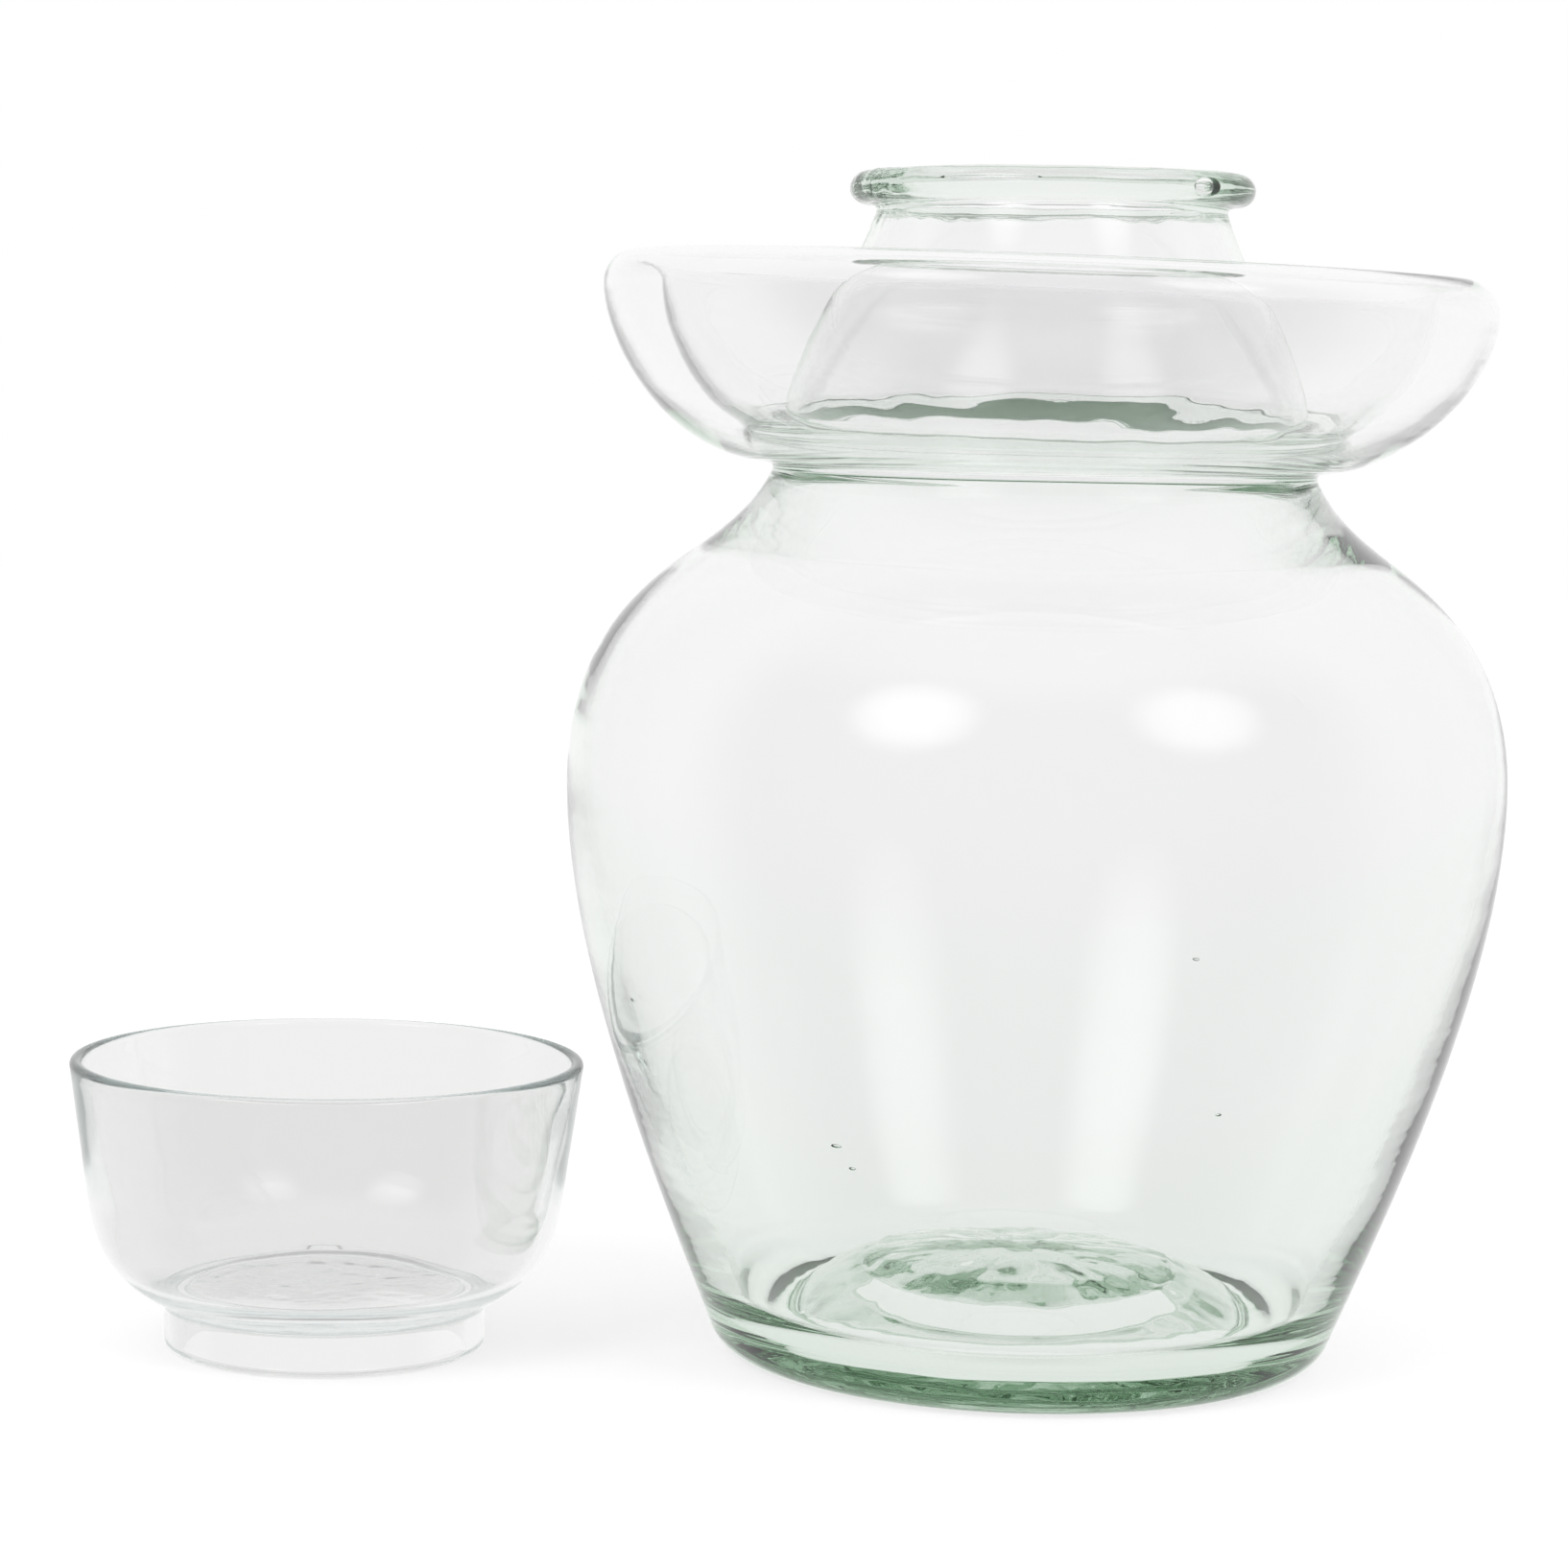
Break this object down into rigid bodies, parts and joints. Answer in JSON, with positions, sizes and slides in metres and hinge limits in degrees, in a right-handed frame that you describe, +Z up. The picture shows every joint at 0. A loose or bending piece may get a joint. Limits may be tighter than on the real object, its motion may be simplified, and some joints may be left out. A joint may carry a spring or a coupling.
{
  "type": "water seal pickle jar",
  "caption": "Round-bellied glass fermenting jar with a water trough round its domed mouth, and the glass bowl that is its lid standing beside it.",
  "frame": {"origin": "on the table, where the jar's axis meets it", "axes": "+Z up along the jar's axis, -X towards the lid beside the jar, -Y towards the viewer"},
  "size_m": [0.2797, 0.185, 0.2323],
  "materials": {
    "jar_glass": "clear hand-blown glass with a faint green tint, greener where it is thick",
    "lid_glass": "clear pressed glass, fire polished",
    "foot_glass": "clear pressed glass, lightly frosted by its mould"
  },
  "bodies": {
    "jar": {"jar_base": "jar_glass", "jar_belly": "jar_glass", "jar_shoulder": "jar_glass", "trough_outer_wall": "jar_glass", "trough_inner_wall": "jar_glass", "mouth_neck": "jar_glass", "mouth_lip": "jar_glass"},
    "lid": {"lid_bowl": "lid_glass", "lid_foot_ring": "foot_glass"}
  },
  "joints": [
    {"name": "lid_lift", "type": "slide", "parent": "jar", "child": "lid", "axis": [-0.1483, 0, 0.9889], "range_m": [0, 0.25]}
  ]
}
